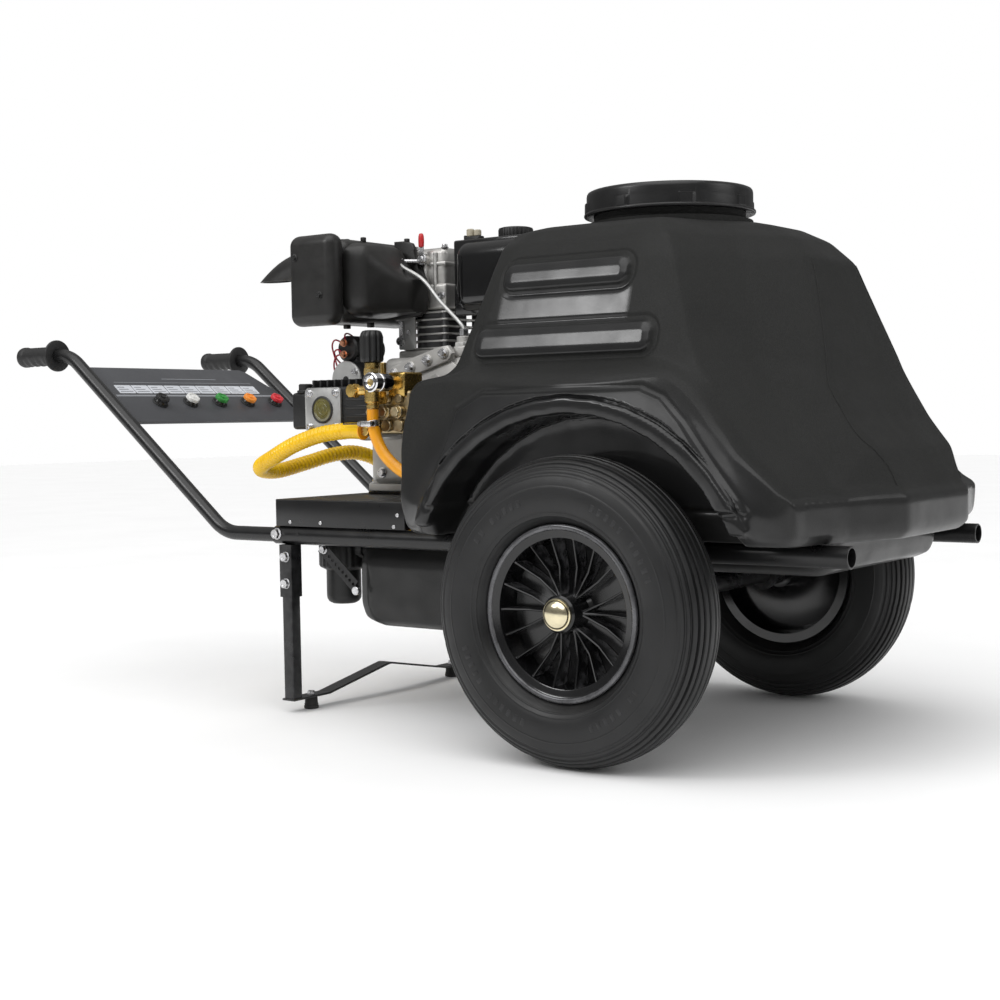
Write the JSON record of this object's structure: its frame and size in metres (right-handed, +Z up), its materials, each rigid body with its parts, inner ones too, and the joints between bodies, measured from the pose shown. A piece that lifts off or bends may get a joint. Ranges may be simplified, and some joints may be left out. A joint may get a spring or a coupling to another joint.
{
  "type": "wheeled pressure washer",
  "caption": "Two-wheeled pressure washer cart: diesel engine and plunger pump on a tube chassis, moulded water tank with screw lid, nozzle panel and push handles.",
  "frame": {"origin": "on the ground under the middle of the machine, within 9 mm of the middle of its overall box", "axes": "+X from the hand grips to the rear of the tank, along the longest side; +Z up; the pump is on the -Y side"},
  "size_m": [1.5805, 0.7212, 0.765],
  "materials": {
    "frame_paint": "gloss black powder coat",
    "panel_paint": "dark grey satin paint with printed pale blocks",
    "tank_plastic": "rotomoulded polyethylene, fine grain, smooth on the pads and arches",
    "lid_plastic": "moulded polypropylene, ribbed",
    "rim_plastic": "glossy black",
    "tyre_rubber": "ribbed tread, dusty",
    "grip_rubber": "soft moulded, finger ridges",
    "seal_rubber": "matte",
    "foot_rubber": "matte",
    "brass": "machined",
    "hub_brass": "polished dome",
    "axle_steel": "zinc plated",
    "bright_steel": "zinc plated",
    "chrome": "polished",
    "cast_aluminium": "sand cast, light grey",
    "cast_iron": "machined cast iron",
    "starter_black": "black paint",
    "exhaust_black": "heat-proof satin black",
    "fuel_paint": "deep gloss black",
    "black_plastic": "moulded",
    "pump_black": "black anodised casting",
    "sight_glass": "clear over olive oil",
    "red_sleeve": "red dip on steel",
    "hose_yellow": "yellow PVC, spiral ribs",
    "hose_orange": "orange yellow, smooth",
    "nozzle_black": "moulded",
    "nozzle_white": "moulded",
    "nozzle_green": "moulded",
    "nozzle_orange": "moulded",
    "nozzle_red": "moulded"
  },
  "bodies": {
    "frame": {"air_cleaner": "black_plastic", "axle": "axle_steel", "axle_bracket_far": "frame_paint", "axle_bracket_near": "frame_paint", "bypass_hose": "hose_orange", "chassis_tube_far": "frame_paint", "chassis_tube_near": "frame_paint", "control_panel": "panel_paint", "crankcase": "cast_aluminium", "cylinder": "cast_aluminium", "engine_tray": "frame_paint", "fan_housing": "black_plastic", "foot_far": "foot_rubber", "foot_near": "foot_rubber", "fuel_tank": "fuel_paint", "grip_far": "grip_rubber", "grip_near": "grip_rubber", "handle_far": "frame_paint", "handle_near": "frame_paint", "injection_pipe": "bright_steel", "leg_sleeve_far": "frame_paint", "leg_sleeve_near": "frame_paint", "muffler": "exhaust_black", "muffler_cover": "exhaust_black", "pump_body": "pump_black", "pump_flange": "cast_aluminium", "pump_head": "brass", "pump_side_plate": "cast_aluminium", "rocker_cover": "cast_aluminium", "sight_glass": "sight_glass", "speed_plate": "bright_steel", "stand_brace": "frame_paint", "stand_leg_far": "frame_paint", "stand_leg_near": "frame_paint", "starter_motor": "starter_black", "suction_hose": "hose_yellow", "unloader_body": "brass", "water_filter": "black_plastic", "water_tank": "tank_plastic"},
    "wheel_near": {"tyre_near": "tyre_rubber", "rim_near": "rim_plastic", "hub_cap_near": "hub_brass"},
    "wheel_far": {"tyre_far": "tyre_rubber", "rim_far": "rim_plastic", "hub_cap_far": "hub_brass"},
    "crank": {"crankshaft": "bright_steel", "flywheel": "cast_iron"},
    "lid_lift": {"lid_seal": "seal_rubber"},
    "lid": {"tank_lid": "lid_plastic"},
    "fuel_cap": {"fuel_cap": "black_plastic"},
    "unloader_knob": {"unloader_knob": "black_plastic"},
    "decompression_lever": {"decompression_lever": "red_sleeve"},
    "speed_lever": {"speed_lever": "bright_steel"},
    "outlet_collar": {"outlet_collar": "chrome"},
    "recoil_handle": {"recoil_handle": "black_plastic"},
    "nozzle_black": {"nozzle_black": "nozzle_black"},
    "nozzle_white": {"nozzle_white": "nozzle_white"},
    "nozzle_green": {"nozzle_green": "nozzle_green"},
    "nozzle_orange": {"nozzle_orange": "nozzle_orange"},
    "nozzle_red": {"nozzle_red": "nozzle_red"}
  },
  "joints": [
    {"name": "wheel_near_spin", "type": "hinge", "parent": "frame", "child": "wheel_near", "pos_m": [0.4355, -0.31, 0.2], "axis": [0, 1, 0], "continuous": true},
    {"name": "wheel_far_spin", "type": "hinge", "parent": "frame", "child": "wheel_far", "pos_m": [0.4355, 0.31, 0.2], "axis": [0, 1, 0], "continuous": true},
    {"name": "crank_spin", "type": "hinge", "parent": "frame", "child": "crank", "pos_m": [-0.0645, 0.05, 0.462], "axis": [0, 1, 0], "continuous": true},
    {"name": "recoil_pull", "type": "slide", "parent": "frame", "child": "recoil_handle", "axis": [0, 0, 1], "range_m": [0, 0.4]},
    {"name": "lid_lift_off", "type": "slide", "parent": "frame", "child": "lid_lift", "axis": [0, 0, 1], "range_m": [0, 0.15]},
    {"name": "lid_unscrew", "type": "hinge", "parent": "lid_lift", "child": "lid", "pos_m": [0.4015, 0, 0.75], "axis": [0, 0, 1], "range_deg": [0, 540]},
    {"name": "fuel_cap_turn", "type": "hinge", "parent": "frame", "child": "fuel_cap", "pos_m": [0.096, 0.05, 0.735], "axis": [0, 0, 1], "range_deg": [0, 90]},
    {"name": "unloader_turn", "type": "hinge", "parent": "frame", "child": "unloader_knob", "pos_m": [0.049, -0.2455, 0.55], "axis": [0, 0, 1], "range_deg": [-540, 540]},
    {"name": "decompression_turn", "type": "hinge", "parent": "frame", "child": "decompression_lever", "pos_m": [-0.0583, 0.0055, 0.703], "axis": [0, 1, 0], "range_deg": [0, 60]},
    {"name": "speed_turn", "type": "hinge", "parent": "frame", "child": "speed_lever", "pos_m": [-0.0995, 0, 0.574], "axis": [0, 1, 0], "range_deg": [0, 35]},
    {"name": "outlet_collar_slide", "type": "slide", "parent": "frame", "child": "outlet_collar", "axis": [0, 1, 0], "range_m": [0, 0.005], "stiffness_N_per_m": 800},
    {"name": "nozzle_black_pull", "type": "slide", "parent": "frame", "child": "nozzle_black", "axis": [0.6238, 0, 0.7816], "range_m": [0, 0.045]},
    {"name": "nozzle_white_pull", "type": "slide", "parent": "frame", "child": "nozzle_white", "axis": [0.6238, 0, 0.7816], "range_m": [0, 0.045]},
    {"name": "nozzle_green_pull", "type": "slide", "parent": "frame", "child": "nozzle_green", "axis": [0.6238, 0, 0.7816], "range_m": [0, 0.045]},
    {"name": "nozzle_orange_pull", "type": "slide", "parent": "frame", "child": "nozzle_orange", "axis": [0.6238, 0, 0.7816], "range_m": [0, 0.045]},
    {"name": "nozzle_red_pull", "type": "slide", "parent": "frame", "child": "nozzle_red", "axis": [0.6238, 0, 0.7816], "range_m": [0, 0.045]}
  ]
}
